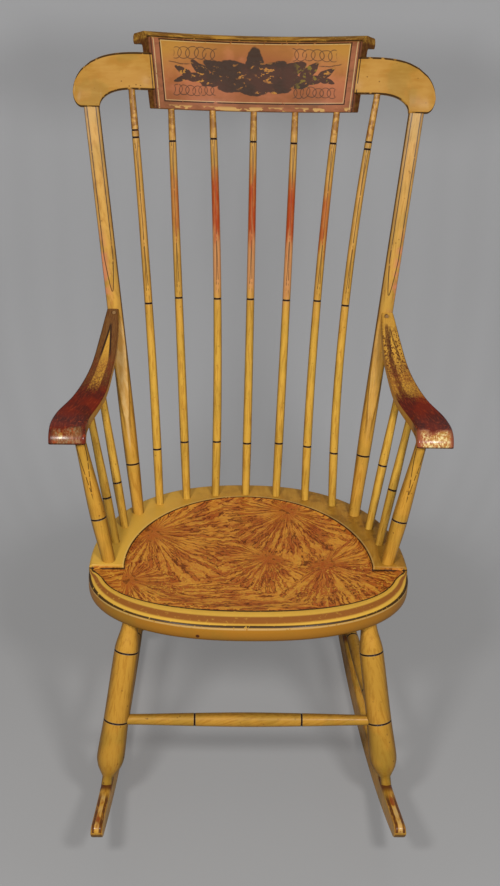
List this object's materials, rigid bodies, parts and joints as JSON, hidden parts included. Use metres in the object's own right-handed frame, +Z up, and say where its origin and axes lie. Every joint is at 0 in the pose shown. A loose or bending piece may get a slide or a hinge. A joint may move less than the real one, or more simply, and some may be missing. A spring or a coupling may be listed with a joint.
{
  "type": "boston rocking chair",
  "caption": "Painted wooden rocking chair with a saddled plank seat, bamboo-turned legs and spindles, scrolled arms and a bowed, rolled crest, on two curved rockers.",
  "frame": {"origin": "middle of the chair's box, on the floor under it", "axes": "+Z up, the sitter faces -Y, +X to the sitter's left"},
  "size_m": [0.6362, 0.7662, 1.1383],
  "materials": {
    "ochre_paint": "aged yellow-ochre paint with dark scored rings and thin dark stripes, satin",
    "seat_paint": "rust-brown combed graining over ochre with striped borders, satin",
    "arm_paint": "glossy red-brown paint at the scroll, worn through to ochre behind",
    "crest_paint": "ochre ears and roll, salmon field with a stencilled band and striped frame",
    "bare_wood": "oiled end grain"
  },
  "bodies": {
    "root": {"seat": "seat_paint", "crest": "crest_paint", "left_back_post": "ochre_paint", "right_back_post": "ochre_paint", "back_spindle_1": "ochre_paint", "back_spindle_2": "ochre_paint", "back_spindle_3": "ochre_paint", "back_spindle_4": "ochre_paint", "back_spindle_5": "ochre_paint", "back_spindle_6": "ochre_paint", "back_spindle_7": "ochre_paint", "left_crest_pin": "bare_wood", "right_crest_pin": "bare_wood", "left_arm": "arm_paint", "right_arm": "arm_paint", "left_arm_support": "ochre_paint", "right_arm_support": "ochre_paint", "left_arm_spindle_front": "ochre_paint", "right_arm_spindle_front": "ochre_paint", "left_arm_spindle_rear": "ochre_paint", "right_arm_spindle_rear": "ochre_paint", "left_arm_pin": "bare_wood", "right_arm_pin": "bare_wood", "left_front_leg": "ochre_paint", "right_front_leg": "ochre_paint", "left_rear_leg": "ochre_paint", "right_rear_leg": "ochre_paint", "front_stretcher": "ochre_paint", "rear_stretcher": "ochre_paint", "left_side_stretcher": "ochre_paint", "right_side_stretcher": "ochre_paint", "left_rocker": "ochre_paint", "right_rocker": "ochre_paint", "left_front_rocker_peg": "bare_wood", "right_front_rocker_peg": "bare_wood", "left_rear_rocker_peg": "bare_wood", "right_rear_rocker_peg": "bare_wood"}
  },
  "joints": []
}
